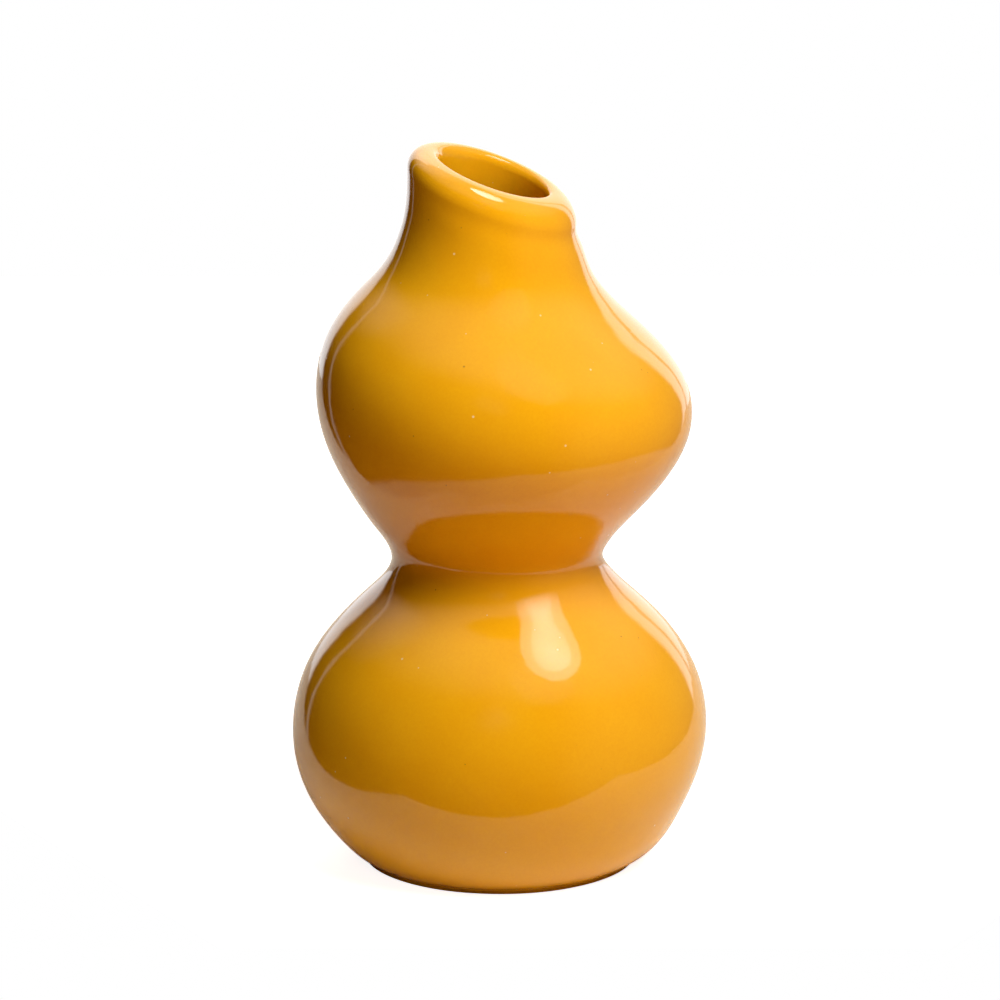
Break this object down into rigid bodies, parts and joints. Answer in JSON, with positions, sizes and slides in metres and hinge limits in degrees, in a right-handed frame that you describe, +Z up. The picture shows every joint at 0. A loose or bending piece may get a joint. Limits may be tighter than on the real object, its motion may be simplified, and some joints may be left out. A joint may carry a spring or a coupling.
{
  "type": "gourd vase",
  "caption": "Double-gourd vase of glazed earthenware: two stacked bulbs with a tight waist, a leaning neck and a slanted round-lipped mouth.",
  "frame": {"origin": "on the ground, at the centre of the foot, which is on the upright axis of the lower bulb", "axes": "+Z up from the foot to the mouth; +X towards the side where the mouth slants down; the XZ plane is the vase's plane of symmetry"},
  "size_m": [0.1144, 0.1144, 0.2],
  "materials": {
    "fired_clay": "matte",
    "yellow_glaze": "gloss"
  },
  "bodies": {
    "root": {"foot_ring": "fired_clay", "lower_bulb": "fired_clay", "upper_bulb": "fired_clay", "neck": "fired_clay", "lip": "fired_clay", "outer_glaze": "yellow_glaze", "inner_glaze": "yellow_glaze", "base_glaze": "yellow_glaze"}
  },
  "joints": []
}
